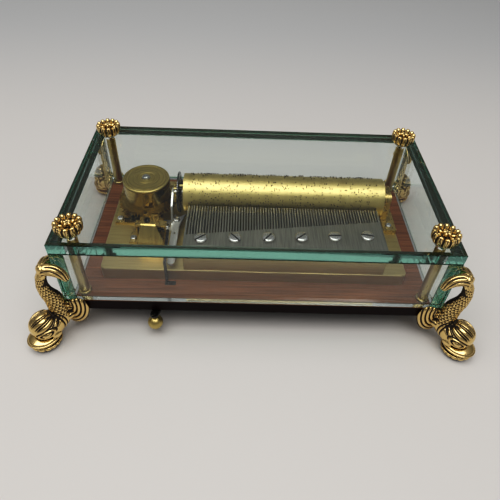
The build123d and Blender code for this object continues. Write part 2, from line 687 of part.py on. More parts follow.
def governor_frame():
    """The brass stand with two uprights that hold the endless screw."""
    outline = [
        (-74.0, -22.6),
        (-52.2, -22.6),
        (-52.2, -13.0),
        (-56.8, -13.0),
        (-56.8, -8.2),
        (-69.8, -8.2),
        (-74.0, -13.0),
    ]
    stand = plate(outline, BED_TOP, 33.2)
    for x0, x1 in (UPRIGHT_LEFT, UPRIGHT_RIGHT):
        stand = stand + block(x0, x1, -18.9, -15.6, BED_TOP, COCK_BOTTOM)
        stand = stand - rod_x(x0 - 1, x1 + 1, WORM_Y, WORM_Z, 0.5 + FIT)
    for x, y in ((FIRST_X, FIRST_Y), (SECOND_X, SECOND_Y)):
        stand = stand - rod(x, y, 30, 34, 0.45 + FIT)
    for (x, y), _ in BRACKET_SCREWS[5:7]:
        stand = stand - rod(x, y, 30, 34, 0.9 + FIT)
    return stand


COVER_SCREW = (-63.4, -15.6)


def governor_cock():
    """The top plate of the governor, with a tongue over the two wheels."""
    body = block(-70.2, -52.2, -18.9, -14.6, COCK_BOTTOM, 43.4)
    body = body + block(-67.4, -57.2, -15.0, -8.9, COCK_BOTTOM, 43.4)
    for x, y in ((FIRST_X, FIRST_Y), (SECOND_X, SECOND_Y)):
        body = body - rod(x, y, 40, 44, 0.45 + FIT)
    return body - rod(*COVER_SCREW, 40, 44, 0.8 + FIT)


def governor_cover():
    """Bent sheet brass over the governor: a narrow slotted top and a broad sloping front."""
    top = [(-67.3, -6.3), (-63.6, -6.3), (-58.2, -19.2), (-66.9, -19.2)]
    body = plate(top, 43.4, 44.2)
    foot_edge = Pos(-61.0, -25.0, 32.4) * Rectangle(16.8, 0.8)
    fold_edge = Pos(-62.55, -19.2, 44.2) * Rectangle(8.7, 0.8)
    body = body + loft([foot_edge, fold_edge])
    body = body - bar((-65.4, -7.6), (-65.2, -10.6), 1.5, 43, 45)
    return body - rod(*COVER_SCREW, 43, 45, 0.8 + FIT)


def cover_screw():
    """The blued screw that holds the cover on the cock."""
    return screw(*COVER_SCREW, 44.2, 1.85, 1.2, 0.8, 1.7, slot_turn=70, slot=0.5)


# ---- levers -------------------------------------------------------------------------------
STOP_BEND = (-50.3, -39.8)
KNOB_X = -56.2
KNOB_Y = -59.5


def change_lever():
    """The flat nickelled lever beside the comb, with a forked back end."""
    arm = bar((-47.8, -35.4), (-47.8, -8.0), 4.2, 36.0, 37.2)
    outline = [
        (-49.6, -12.0),
        (-45.8, -12.0),
        (-44.4, -5.6),
        (-42.7, -0.3),
        (-45.8, -2.9),
        (-48.0, -2.9),
        (-49.6, -1.0),
    ]
    lever = arm + plate(outline, 36.0, 37.2)
    lever = lever - rod(*LEVER_PIVOT, 30, 40, 1.2 + FIT)
    return lever - rod(-47.8, -18.0, 30, 40, 0.6)


def pivot_screws():
    """Shouldered screws under the change lever, the click and the stop lever."""
    change = screw(*LEVER_PIVOT, 37.3, 2.0, 1.2, 1.2, 8.4, slot_turn=25, slot=0.5)
    change = change + rod(*LEVER_PIVOT, BED_TOP, 35.9, 2.0)
    pawl = screw(*CLICK_PIVOT, 35.8, 1.6, 1.0, 0.9, 3.2, slot_turn=60, slot=0.4)
    stop = upside_down_screw(*STOP_PIVOT, 15.1, 2.6, 1.3, 1.2, 21.6)
    return Compound(children=[change, pawl, stop])


def stop_lever():
    """The steel start and stop lever: a strip under the board and an arm up to the governor."""
    ball_stem = (KNOB_X, KNOB_Y)
    low, high = 15.2, 16.4
    strip = bar(STOP_PIVOT, STOP_BEND, 4.4, low, high) + bar(STOP_BEND, ball_stem, 4.4, low, high)
    riser = block(-51.1, -49.5, -40.2, -39.4, high - 0.5, 41.2)
    arm = bar((-50.3, -39.6), (-51.2, -20.0), 1.6, 40.0, 41.2)
    return strip + riser + arm - rod(*STOP_PIVOT, 10, 20, 1.2 + FIT)


def stop_knob():
    """The brass ball on its stem below the lever."""
    return Pos(KNOB_X, KNOB_Y, 9.3) * Sphere(4.25) + rod(KNOB_X, KNOB_Y, 12.0, 15.2, 1.2)


# ---- write the nodes ----------------------------------------------------------------------
os.makedirs("parts", exist_ok=True)

save("base_board", base_board())
panes()
for corner, (px, py) in corners(POST_X, POST_Y).items():
    save(f"post_{corner}", post(px, py))
    save(f"rosette_{corner}", rosette(px, py))
rings = [rod(px, py, CASE_TOP, CASE_TOP + 0.4, 5.0) - rod(px, py, 60, 70, STUD_RADIUS + FIT)
         for px, py in corners(POST_X, POST_Y).values()]
save("rosette_washers", Compound(children=rings))
feet()

save("bedplate", bedplate())
save("bedplate_screws", bedplate_screws())
save("left_bearing", left_bearing())
save("right_bearing", right_bearing())
save("bracket_screws", bracket_screws())

save("comb", comb())
save("comb_platform", comb_platform())
save("comb_screws", comb_screws())
save("comb_weights", comb_weights())
save("comb_dampers", comb_dampers())

save("cylinder_tube", cylinder_tube())
save("cylinder_left_cap", cylinder_left_cap())
save("cylinder_right_cap", cylinder_cap(CYL_RIGHT - CAP_THICK, CYL_RIGHT))
save("cylinder_pins", cylinder_pins())
save("cylinder_arbor", cylinder_arbor())
save("great_wheel", great_wheel())
save("tune_wheel", tune_wheel())
save("shift_spring", shift_spring())

save("barrel_drum", barrel_drum())
save("barrel_lid", barrel_lid())
save("mainspring", mainspring())
save("barrel_arbor", barrel_arbor())
save("arbor_screw", arbor_screw())
save("ratchet_wheel", ratchet_wheel())
save("click", click())
save("click_spring", click_spring())
save("barrel_bridge", barrel_bridge())
save("winding_key", winding_key())

save("governor_frame", governor_frame())
save("governor_cock", governor_cock())
save("governor_cover", governor_cover())
save("cover_screw", cover_screw())
save("governor_first_wheel", first_wheel())
save("governor_second_wheel", second_wheel())
save("endless_screw", endless_screw())

save("change_lever", change_lever())
save("pivot_screws", pivot_screws())
save("stop_lever", stop_lever())
save("stop_knob", stop_knob())
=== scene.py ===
from math import atan2, cos, hypot, pi, radians, sin, sqrt

import bpy
import numpy as np
from mathutils import Matrix, Vector


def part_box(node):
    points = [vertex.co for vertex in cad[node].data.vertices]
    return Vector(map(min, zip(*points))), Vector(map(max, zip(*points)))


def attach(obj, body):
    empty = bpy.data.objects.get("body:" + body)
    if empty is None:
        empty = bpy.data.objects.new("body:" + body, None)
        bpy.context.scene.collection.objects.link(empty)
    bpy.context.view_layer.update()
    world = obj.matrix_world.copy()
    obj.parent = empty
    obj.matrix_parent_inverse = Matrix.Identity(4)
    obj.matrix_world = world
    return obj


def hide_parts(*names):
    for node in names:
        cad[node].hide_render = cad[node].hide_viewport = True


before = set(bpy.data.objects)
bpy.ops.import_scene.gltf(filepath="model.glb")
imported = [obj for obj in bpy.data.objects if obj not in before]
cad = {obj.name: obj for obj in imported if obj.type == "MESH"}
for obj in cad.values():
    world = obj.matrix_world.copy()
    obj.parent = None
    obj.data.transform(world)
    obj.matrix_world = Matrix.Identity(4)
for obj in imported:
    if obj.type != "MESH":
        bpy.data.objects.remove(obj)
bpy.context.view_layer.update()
bpy.ops.object.select_all(action="DESELECT")

# ---- table and room -----------------------------------------------------------------------
# The music box stands on a matt off-white table top, whose far end turns grey where the light
# of the room falls off. One wide pale panel overhead and the pale room itself light it softly.
bpy.ops.mesh.primitive_grid_add(x_subdivisions=2, y_subdivisions=2, size=8.0, location=(0, 0, -0.00005))
table = bpy.context.object
table.name = "table_top"
table_paint = bpy.data.materials.new("table_paint")
table_paint.use_nodes = True
nodes, links = table_paint.node_tree.nodes, table_paint.node_tree.links
nodes["Principled BSDF"].inputs["Roughness"].default_value = 0.6
place = nodes.new("ShaderNodeTexCoord")
axes = nodes.new("ShaderNodeSeparateXYZ")
links.new(place.outputs["Object"], axes.inputs["Vector"])
far = nodes.new("ShaderNodeMapRange")
far.interpolation_type = "SMOOTHSTEP"
far.inputs["From Min"].default_value = 0.12
far.inputs["From Max"].default_value = 0.46
links.new(axes.outputs["Y"], far.inputs["Value"])
tone = nodes.new("ShaderNodeMix")
tone.data_type = "RGBA"
tone.inputs["A"].default_value = (0.66, 0.640, 0.620, 1)
tone.inputs["B"].default_value = (0.56, 0.565, 0.57, 1)
links.new(far.outputs["Result"], tone.inputs["Factor"])
links.new(tone.outputs["Result"], nodes["Principled BSDF"].inputs["Base Color"])
table.data.materials.append(table_paint)

room = bpy.data.worlds.new("room")
bpy.context.scene.world = room
room.use_nodes = True
nodes, links = room.node_tree.nodes, room.node_tree.links
where = nodes.new("ShaderNodeTexCoord")
height = nodes.new("ShaderNodeSeparateXYZ")
links.new(where.outputs["Generated"], height.inputs["Vector"])
wall = nodes.new("ShaderNodeValToRGB")
wall.color_ramp.elements[0].position = 0.15
wall.color_ramp.elements[0].color = (0.30, 0.295, 0.29, 1)
wall.color_ramp.elements[1].position = 0.95
wall.color_ramp.elements[1].color = (0.40, 0.40, 0.40, 1)
dim = wall.color_ramp.elements.new(0.5)
dim.color = (0.13, 0.13, 0.13, 1)
links.new(height.outputs["Z"], wall.inputs["Fac"])
links.new(wall.outputs["Color"], nodes["Background"].inputs["Color"])
nodes["Background"].inputs["Strength"].default_value = 1.0


def panel_light(name, origin, target, width, length, power, colour):
    """A rectangular lamp aimed at a point."""
    lamp = bpy.data.lights.new(name, "AREA")
    lamp.shape = "RECTANGLE"
    lamp.size = width
    lamp.size_y = length
    lamp.energy = power
    lamp.color = colour
    holder = bpy.data.objects.new(name, lamp)
    bpy.context.collection.objects.link(holder)
    holder.location = origin
    holder.rotation_euler = (Vector(target) - Vector(origin)).to_track_quat("-Z", "Y").to_euler()


panel_light("ceiling_panel", (-0.08, -0.22, 1.0), (0, 0, 0.03), 1.3, 0.85, 9.6, (1.0, 0.985, 0.96))

scene = bpy.context.scene
scene.view_settings.view_transform = "Standard"
scene.view_settings.use_curve_mapping = True
contrast = scene.view_settings.curve_mapping
for tone_in, tone_out in ((0.05, 0.027), (0.10, 0.066), (0.20, 0.165), (0.45, 0.45)):
    contrast.curves[3].points.new(tone_in, tone_out)
contrast.update()
scene.cycles.use_denoising = True
scene.cycles.max_bounces = 24
scene.cycles.transmission_bounces = 24
scene.cycles.transparent_max_bounces = 24
scene.cycles.glossy_bounces = 24

# ---- camera -------------------------------------------------------------------------------
# A slightly wide lens looks down on the case from the front, at about arm's length from its
# back edge and a finger's breadth left of its middle, and is rolled a few degrees.
yaw, pitch, roll = radians(1.947), radians(44.70), radians(2.873)
ahead = Vector((sin(yaw) * cos(pitch), cos(yaw) * cos(pitch), -sin(pitch)))
level = Vector((cos(yaw), -sin(yaw), 0))
right = level * cos(roll) + level.cross(ahead) * sin(roll)
upward = right.cross(ahead)
camera = bpy.data.objects.new("camera", bpy.data.cameras.new("camera"))
bpy.context.collection.objects.link(camera)
camera.data.lens = 33.75
camera.data.sensor_width = 36
camera.data.clip_start = 0.01
camera.matrix_world = Matrix.Translation((-0.00983, -0.22085, 0.22857)) @ \
    Matrix((right, upward, -ahead)).transposed().to_4x4()
scene.camera = camera

# ---- base board ---------------------------------------------------------------------------
# A mahogany board. Its top is polished and shows the fine lengthwise grain, and its edges and
# underside are stained almost black and lacquered.
BOARD_TOP = 0.0242


def node_group(name, inputs, outputs):
    """A shader group with named sockets; each is (name, socket kind, default)."""
    group = bpy.data.node_groups.new(name, "ShaderNodeTree")
    for title, kind, default in inputs:
        socket = group.interface.new_socket(title, in_out="INPUT", socket_type="NodeSocket" + kind)
        if default is not None:
            socket.default_value = default
    for title, kind in outputs:
        group.interface.new_socket(title, in_out="OUTPUT", socket_type="NodeSocket" + kind)
    return group, group.nodes.new("NodeGroupInput"), group.nodes.new("NodeGroupOutput")


def make_streaks():
    """Drawn-out grain: two colours and two roughnesses along one noise, with a fine relief."""
    group, source, sink = node_group(
        "streaks",
        [("Vector", "Vector", None), ("Low Colour", "Color", (0, 0, 0, 1)), ("High Colour", "Color", (1, 1, 1, 1)),
         ("Low Roughness", "Float", 0.3), ("High Roughness", "Float", 0.5), ("Detail", "Float", 5.0)],
        [("Colour", "Color"), ("Roughness", "Float"), ("Height", "Float")])
    grain = group.nodes.new("ShaderNodeTexNoise")
    grain.inputs["Scale"].default_value = 1.0
    group.links.new(source.outputs["Vector"], grain.inputs["Vector"])
    group.links.new(source.outputs["Detail"], grain.inputs["Detail"])
    spread = group.nodes.new("ShaderNodeMapRange")
    spread.inputs["From Min"].default_value = 0.3
    spread.inputs["From Max"].default_value = 0.7
    group.links.new(grain.outputs["Fac"], spread.inputs["Value"])
    colour = group.nodes.new("ShaderNodeMix")
    colour.data_type = "RGBA"
    group.links.new(spread.outputs["Result"], colour.inputs["Factor"])
    group.links.new(source.outputs["Low Colour"], colour.inputs["A"])
    group.links.new(source.outputs["High Colour"], colour.inputs["B"])
    gloss = group.nodes.new("ShaderNodeMapRange")
    group.links.new(spread.outputs["Result"], gloss.inputs["Value"])
    group.links.new(source.outputs["Low Roughness"], gloss.inputs["To Min"])
    group.links.new(source.outputs["High Roughness"], gloss.inputs["To Max"])
    group.links.new(colour.outputs["Result"], sink.inputs["Colour"])
    group.links.new(gloss.outputs["Result"], sink.inputs["Roughness"])
    group.links.new(spread.outputs["Result"], sink.inputs["Height"])
    return group


streaks = make_streaks()


def streaked(name, metallic, stretch, low, high, low_rough, high_rough, relief):
    """A material with drawn-out grain. The stretch gives the grain lines per metre along each axis."""
    look = bpy.data.materials.new(name)
    look.use_nodes = True
    nodes, links = look.node_tree.nodes, look.node_tree.links
    shader = nodes["Principled BSDF"]
    shader.inputs["Metallic"].default_value = metallic
    place = nodes.new("ShaderNodeTexCoord")
    mapping = nodes.new("ShaderNodeMapping")
    mapping.vector_type = "POINT"
    mapping.inputs["Scale"].default_value = stretch
    links.new(place.outputs["Object"], mapping.inputs["Vector"])
    grain = nodes.new("ShaderNodeGroup")
    grain.name = "grain"
    grain.node_tree = streaks
    grain.inputs["Low Colour"].default_value = (*low, 1)
    grain.inputs["High Colour"].default_value = (*high, 1)
    grain.inputs["Low Roughness"].default_value = low_rough
    grain.inputs["High Roughness"].default_value = high_rough
    links.new(mapping.outputs["Vector"], grain.inputs["Vector"])
    links.new(grain.outputs["Colour"], shader.inputs["Base Color"])
    links.new(grain.outputs["Roughness"], shader.inputs["Roughness"])
    bump = nodes.new("ShaderNodeBump")
    bump.inputs["Strength"].default_value = relief
    bump.inputs["Distance"].default_value = 0.0001
    links.new(grain.outputs["Height"], bump.inputs["Height"])
    links.new(bump.outputs["Normal"], shader.inputs["Normal"])
    return look


def paint(look, *names):
    """These CAD pieces take this finish."""
    for name in names:
        for slot in cad[name].material_slots:
            slot.material = look


mahogany = streaked("mahogany", 0.0, (28, 900, 900), (0.078, 0.024, 0.010), (0.24, 0.088, 0.038), 0.30, 0.45, 0.25)
nodes, links = mahogany.node_tree.nodes, mahogany.node_tree.links
grain = nodes["grain"]
shader = nodes["Principled BSDF"]
shader.inputs["Coat Roughness"].default_value = 0.12
shader.inputs["Specular IOR Level"].default_value = 0.08
place = nodes.new("ShaderNodeTexCoord")
axes = nodes.new("ShaderNodeSeparateXYZ")
links.new(place.outputs["Object"], axes.inputs["Vector"])
top_face = nodes.new("ShaderNodeMath")
top_face.operation = "GREATER_THAN"
top_face.inputs[1].default_value = BOARD_TOP - 0.0001
links.new(axes.outputs["Z"], top_face.inputs[0])
stain = nodes.new("ShaderNodeMix")
stain.data_type = "RGBA"
stain.inputs["A"].default_value = (0.006, 0.0012, 0.0015, 1)
links.new(top_face.outputs["Value"], stain.inputs["Factor"])
links.new(grain.outputs["Colour"], stain.inputs["B"])
links.new(stain.outputs["Result"], shader.inputs["Base Color"])
polish = nodes.new("ShaderNodeMath")
polish.operation = "MULTIPLY"
polish.inputs[1].default_value = 0.15
links.new(top_face.outputs["Value"], polish.inputs[0])
links.new(polish.outputs["Value"], shader.inputs["Coat Weight"])
paint(mahogany, "base_board")

# ---- glass walls and top ------------------------------------------------------------------
# Five panes of 6 mm float glass, green in the thickness, glued edge to edge. Their arrises are
# ground off and their edges are polished. A hair of air stays between each pane and the next.
ARRIS = 0.00035
AIR = 0.00004
POST_X, POST_Y = 0.095, 0.047


def pane(name, low, high, node, edge):
    """A pane with its arrises taken off. Face slots: 0 clear faces, 1 polished edges."""
    size = [b - a for a, b in zip(low, high)]
    middle = [(a + b) / 2 for a, b in zip(low, high)]
    bpy.ops.mesh.primitive_cube_add(size=1, location=middle, scale=size)
    piece = bpy.context.object
    piece.name = name
    bpy.ops.object.transform_apply(location=True, rotation=True, scale=True)
    bevel = piece.modifiers.new("arris", "BEVEL")
    bevel.width = ARRIS
    bevel.segments = 1
    bpy.ops.object.modifier_apply(modifier="arris")
    piece.data.materials.append(clear_glass)
    piece.data.materials.append(edge)
    thin = size.index(min(size))
    for face in piece.data.polygons:
        face.material_index = 0 if abs(face.normal[thin]) > 0.9 else 1
    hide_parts(node)
    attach(piece, "root")
    bpy.ops.object.select_all(action="DESELECT")
    return piece


def glass(name, roughness, tint):
    """Float glass, green in the thickness, that lets shadow and diffuse rays straight through."""
    look = bpy.data.materials.new(name)
    look.use_nodes = True
    nodes, links = look.node_tree.nodes, look.node_tree.links
    shader = nodes["Principled BSDF"]
    shader.inputs["Base Color"].default_value = (*tint, 1)
    shader.inputs["Roughness"].default_value = roughness
    shader.inputs["IOR"].default_value = 1.52
    shader.inputs["Transmission Weight"].default_value = 1.0
    shader.inputs["Specular IOR Level"].default_value = 0.28
    rays = nodes.new("ShaderNodeLightPath")
    shadow = nodes.new("ShaderNodeMath")
    shadow.operation = "MAXIMUM"
    links.new(rays.outputs["Is Shadow Ray"], shadow.inputs[0])
    links.new(rays.outputs["Is Diffuse Ray"], shadow.inputs[1])
    through = nodes.new("ShaderNodeBsdfTransparent")
    blend = nodes.new("ShaderNodeMixShader")
    links.new(shadow.outputs["Value"], blend.inputs["Fac"])
    links.new(shader.outputs["BSDF"], blend.inputs[1])
    links.new(through.outputs["BSDF"], blend.inputs[2])
    links.new(blend.outputs["Shader"], nodes["Material Output"].inputs["Surface"])
    body = nodes.new("ShaderNodeVolumeAbsorption")
    body.inputs["Color"].default_value = (0.25, 0.82, 0.70, 1)
    body.inputs["Density"].default_value = 10.0
    links.new(body.outputs["Volume"], nodes["Material Output"].inputs["Volume"])
    return look


def carve(piece, tools):
    """Take the joined tools away from the piece."""
    bpy.ops.object.select_all(action="DESELECT")
    for tool in tools:
        tool.select_set(True)
    bpy.context.view_layer.objects.active = tools[0]
    if len(tools) > 1:
        bpy.ops.object.join()
    tool = bpy.context.object
    bpy.context.view_layer.objects.active = piece
    cut = piece.modifiers.new("cut", "BOOLEAN")
    cut.operation = "DIFFERENCE"
    cut.object = tool
    bpy.ops.object.modifier_apply(modifier="cut")
    bpy.data.objects.remove(tool, do_unlink=True)
    bpy.ops.object.select_all(action="DESELECT")


clear_glass = glass("clear_glass", 0.0, (1, 1, 1))
edge_glass = glass("edge_glass", 0.08, (0.74, 0.79, 0.77))
joint_glass = glass("joint_glass", 0.10, (0.56, 0.70, 0.63))
for title, node in (("front_glass", "front_pane"), ("back_glass", "back_pane"),
                    ("left_glass", "left_pane"), ("right_glass", "right_pane")):
    low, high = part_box(node)
    low = [low[0], low[1], low[2] + 2 * AIR]
    high = [high[0], high[1], high[2] - AIR]
    if node in ("left_pane", "right_pane"):
        low[1] += AIR
        high[1] -= AIR
    pane(title, low, high, node, joint_glass)
low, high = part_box("top_pane")
top_glass = pane("top_glass", [low[0], low[1], low[2] + AIR], list(high), "top_pane", edge_glass)
for sx in (-1, 1):
    for sy in (-1, 1):
        bpy.ops.mesh.primitive_cylinder_add(vertices=48, radius=0.003, depth=0.02,
                                            location=(sx * POST_X, sy * POST_Y, 0.0627))
        carve(top_glass, [bpy.context.object])

# ---- posts and washers --------------------------------------------------------------------
# Four turned brass pillars with a small foot ring, drawn along their length, and clear washers
# under the flower nuts.
post_brass = streaked("post_brass", 1.0, (900, 900, 60), (0.33, 0.25, 0.10), (0.47, 0.37, 0.17), 0.26, 0.38, 0.15)
paint(post_brass, "post_front_left", "post_front_right", "post_back_left", "post_back_right")
washer_clear = streaked("clear_washer", 0.0, (200, 200, 200), (0.50, 0.52, 0.48), (0.66, 0.68, 0.64),
                        0.12, 0.2, 0.0)
paint(washer_clear, "rosette_washers")

# ---- flower nuts --------------------------------------------------------------------------
# Cast flower nuts in antique gilt: a deep ring of twelve folded petals, eight small leaves
# inside it and a five-lobed boss. The gilt is bright on the high places and black-brown in the recesses.
FLOWER_BOTTOM = 0.0661


def make_antique():
    """Gilt that turns black-brown where the stored depth is great, with uneven borders: grime in the recesses, and
    on the dolphins also painted shade.
    """
    group, source, sink = node_group(
        "antique",
        [("Depth", "Float", 0.0), ("Vector", "Vector", None),
         ("Gilt", "Color", (1, 1, 1, 1)), ("Grime And Shade", "Color", (0, 0, 0, 1))],
        [("Colour", "Color"), ("Metallic", "Float"), ("Roughness", "Float")])
    patch = group.nodes.new("ShaderNodeTexNoise")
    patch.inputs["Scale"].default_value = 900.0
    patch.inputs["Detail"].default_value = 3.0
    group.links.new(source.outputs["Vector"], patch.inputs["Vector"])
    sway = group.nodes.new("ShaderNodeMath")
    sway.operation = "MULTIPLY_ADD"
    sway.inputs[1].default_value = 0.35
    group.links.new(patch.outputs["Fac"], sway.inputs[0])
    group.links.new(source.outputs["Depth"], sway.inputs[2])
    grime_and_shade = group.nodes.new("ShaderNodeMapRange")
    grime_and_shade.interpolation_type = "SMOOTHSTEP"
    grime_and_shade.inputs["From Min"].default_value = 0.42
    grime_and_shade.inputs["From Max"].default_value = 0.72
    group.links.new(sway.outputs["Value"], grime_and_shade.inputs["Value"])
    colour = group.nodes.new("ShaderNodeMix")
    colour.data_type = "RGBA"
    group.links.new(grime_and_shade.outputs["Result"], colour.inputs["Factor"])
    group.links.new(source.outputs["Gilt"], colour.inputs["A"])
    group.links.new(source.outputs["Grime And Shade"], colour.inputs["B"])
    metal = group.nodes.new("ShaderNodeMapRange")
    metal.inputs["To Min"].default_value = 1.0
    metal.inputs["To Max"].default_value = 0.25
    group.links.new(grime_and_shade.outputs["Result"], metal.inputs["Value"])
    gloss = group.nodes.new("ShaderNodeMapRange")
    gloss.inputs["To Min"].default_value = 0.19
    gloss.inputs["To Max"].default_value = 0.6
    group.links.new(grime_and_shade.outputs["Result"], gloss.inputs["Value"])
    group.links.new(colour.outputs["Result"], sink.inputs["Colour"])
    group.links.new(metal.outputs["Result"], sink.inputs["Metallic"])
    group.links.new(gloss.outputs["Result"], sink.inputs["Roughness"])
    return group


antique = make_antique()
antique_gilt = bpy.data.materials.new("antique_gilt")
antique_gilt.use_nodes = True
nodes, links = antique_gilt.node_tree.nodes, antique_gilt.node_tree.links
aged = nodes.new("ShaderNodeGroup")
aged.node_tree = antique
aged.inputs["Gilt"].default_value = (0.78, 0.58, 0.26, 1)
aged.inputs["Grime And Shade"].default_value = (0.022, 0.013, 0.008, 1)
place = nodes.new("ShaderNodeTexCoord")
links.new(place.outputs["Object"], aged.inputs["Vector"])
depth = nodes.new("ShaderNodeAttribute")
depth.attribute_name = "depth"
links.new(depth.outputs["Fac"], aged.inputs["Depth"])
for wire, socket in (("Colour", "Base Color"), ("Metallic", "Metallic"), ("Roughness", "Roughness")):
    links.new(aged.outputs[wire], nodes["Principled BSDF"].inputs[socket])


def lump(place, radii, turn=(0, 0, 0)):
    """A rounded lump, one of several that are melted into one casting."""
    bpy.ops.mesh.primitive_uv_sphere_add(segments=32, ring_count=16, radius=1, location=place, scale=radii,
                                         rotation=turn)
    return bpy.context.object


def melt(lumps, name, voxel, smooth):
    """The lumps as one closed skin."""
    bpy.ops.object.select_all(action="DESELECT")
    for one in lumps:
        one.select_set(True)
    bpy.context.view_layer.objects.active = lumps[0]
    if len(lumps) > 1:
        bpy.ops.object.join()
    piece = bpy.context.object
    piece.name = name
    bpy.ops.object.transform_apply(location=True, rotation=True, scale=True)
    skin = piece.modifiers.new("skin", "REMESH")
    skin.mode = "VOXEL"
    skin.voxel_size = voxel
    skin.use_smooth_shade = True
    bpy.ops.object.modifier_apply(modifier="skin")
    if smooth:
        ease = piece.modifiers.new("ease", "SMOOTH")
        ease.factor = 0.5
        ease.iterations = smooth
        bpy.ops.object.modifier_apply(modifier="ease")
    return piece


def store_depth_and_shade(piece, values):
    """Keep how deep each point lies, from 0 on the high places to 1 in the recesses; on the dolphins the value also
    carries painted shade.
    """
    layer = piece.data.attributes.new("depth", "FLOAT", "POINT")
    layer.data.foreach_set("value", np.clip(values, 0, 1).astype(np.float32))


def hollows(piece, rounds):
    """How far each point lies below its surroundings, in millimetres; bumps come out negative."""
    points = np.array([v.co for v in piece.data.vertices]) * 1000
    normals = np.array([v.normal for v in piece.data.vertices])
    ends = np.array([edge.vertices[:] for edge in piece.data.edges])
    count = np.bincount(ends.ravel(), minlength=len(points))[:, None]
    eased = points
    for _ in range(rounds):
        total = np.stack([np.bincount(ends[:, 0], eased[ends[:, 1], k], len(points)) +
                          np.bincount(ends[:, 1], eased[ends[:, 0], k], len(points)) for k in range(3)], 1)
        eased = total / count
    return ((eased - points) * normals).sum(1)


petals = []
for k in range(12):
    turn = 2 * pi * k / 12
    spot = (0.0056 * cos(turn), 0.0056 * sin(turn), FLOWER_BOTTOM + 0.0036)
    petals.append(lump(spot, (0.0017, 0.0019, 0.0035), (0, radians(10), turn)))
    for fold in (-1, 1):
        side = turn + fold * 0.085
        spot = (0.0061 * cos(side), 0.0061 * sin(side), FLOWER_BOTTOM + 0.0050)
        petals.append(lump(spot, (0.0013, 0.0007, 0.0020), (0, radians(14), side)))
for k in range(8):
    turn = 2 * pi * (k + 0.5) / 8
    spot = (0.0034 * cos(turn), 0.0034 * sin(turn), FLOWER_BOTTOM + 0.0042)
    petals.append(lump(spot, (0.0016, 0.0009, 0.0010), (0, radians(-28), turn)))
for k in range(5):
    turn = 2 * pi * k / 5
    spot = (0.0014 * cos(turn), 0.0014 * sin(turn), FLOWER_BOTTOM + 0.0060)
    petals.append(lump(spot, (0.0013, 0.0008, 0.0010), (0, radians(25), turn)))
petals.append(lump((0, 0, FLOWER_BOTTOM + 0.0020), (0.0058, 0.0058, 0.0019)))
petals.append(lump((0, 0, FLOWER_BOTTOM + 0.0042), (0.0020, 0.0020, 0.0024)))
flower = melt(petals, "flower_nut", 0.00020, 1)
points = np.array([v.co for v in flower.data.vertices])
radius = np.hypot(points[:, 0], points[:, 1])
sunk = np.clip((0.0050 - (points[:, 2] - FLOWER_BOTTOM)) / 0.0020, 0, 1) * (radius < 0.0045)
angle = np.arctan2(points[:, 1], points[:, 0])
wall = (0.12 + 0.33 * (0.5 + 0.5 * np.cos(60 * angle)) ** 2) * (radius > 0.0052)
store_depth_and_shade(flower, 0.32 + 4.5 * hollows(flower, 14) + 0.6 * sunk + wall)
flower.data.materials.append(antique_gilt)
for name, (x, y) in (("front_left", (-POST_X, -POST_Y)), ("front_right", (POST_X, -POST_Y)),
                     ("back_left", (-POST_X, POST_Y)), ("back_right", (POST_X, POST_Y))):
    nut = bpy.data.objects.new("flower_nut_" + name, flower.data.copy())
    bpy.context.collection.objects.link(nut)
    nut.data.transform(Matrix.Translation((x, y, 0)) @ Matrix.Rotation(x * 31 + y * 57, 4, "Z"))
    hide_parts("rosette_" + name)
    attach(nut, "root")
bpy.data.objects.remove(flower, do_unlink=True)

# ---- dolphin feet -------------------------------------------------------------------------
# Four cast dolphins in the same antique gilt. Each rests on its lips, with a fluted bulging
# forehead, a scaly back, a shell-like fin each side of the corner and the fluke curled over.
# The casting lies with X outward along the corner's diagonal, Y across it and Z up.
CASE_HALF = (0.105, 0.057)
HEAD_X, HEAD_Z = 14.2, 15.0
LOBE = np.array([(4.6, 0.6, 52.0), (1.3, 3.6, 51.7), (-0.9, 6.2, 49.8), (-2.4, 7.8, 46.4)])
LOBE_RADII = (3.2, 3.2, 2.8, 1.9)
LOBE_RUN = np.linspace(0, 3, 19)
LOBE_FINE = np.stack([np.polyval(np.polyfit(range(4), LOBE[:, k], 3), LOBE_RUN) for k in range(3)], 1)
SPINE = np.array([(0.0044, 0.0170), (0.0042, 0.0240), (0.0050, 0.0300), (0.0070, 0.0362), (0.0078, 0.0420),
                  (0.0070, 0.0475), (0.0044, 0.0516)])


def limb(line):
    """Close-set lumps along a line of (x, y, z, radius)."""
    made = []
    for a, b in zip(line, line[1:]):
        steps = max(2, int(sqrt(sum((q - p) ** 2 for p, q in zip(a[:3], b[:3]))) / 0.0006))
        for k in range(steps):
            mix = [p + (q - p) * k / steps for p, q in zip(a, b)]
            made.append(lump(mix[:3], (mix[3],) * 3))
    made.append(lump(line[-1][:3], (line[-1][3],) * 3))
    return made


def ramp(value, start, end):
    """0 before start, 1 after end, and smooth between."""
    share = np.clip((value - start) / (end - start), 0, 1)
    return share * share * (3 - 2 * share)


def valley(value, centre, width):
    """1 at the bottom of a groove, falling away to 0 at its sides."""
    return np.exp(-((value - centre) / width) ** 2)


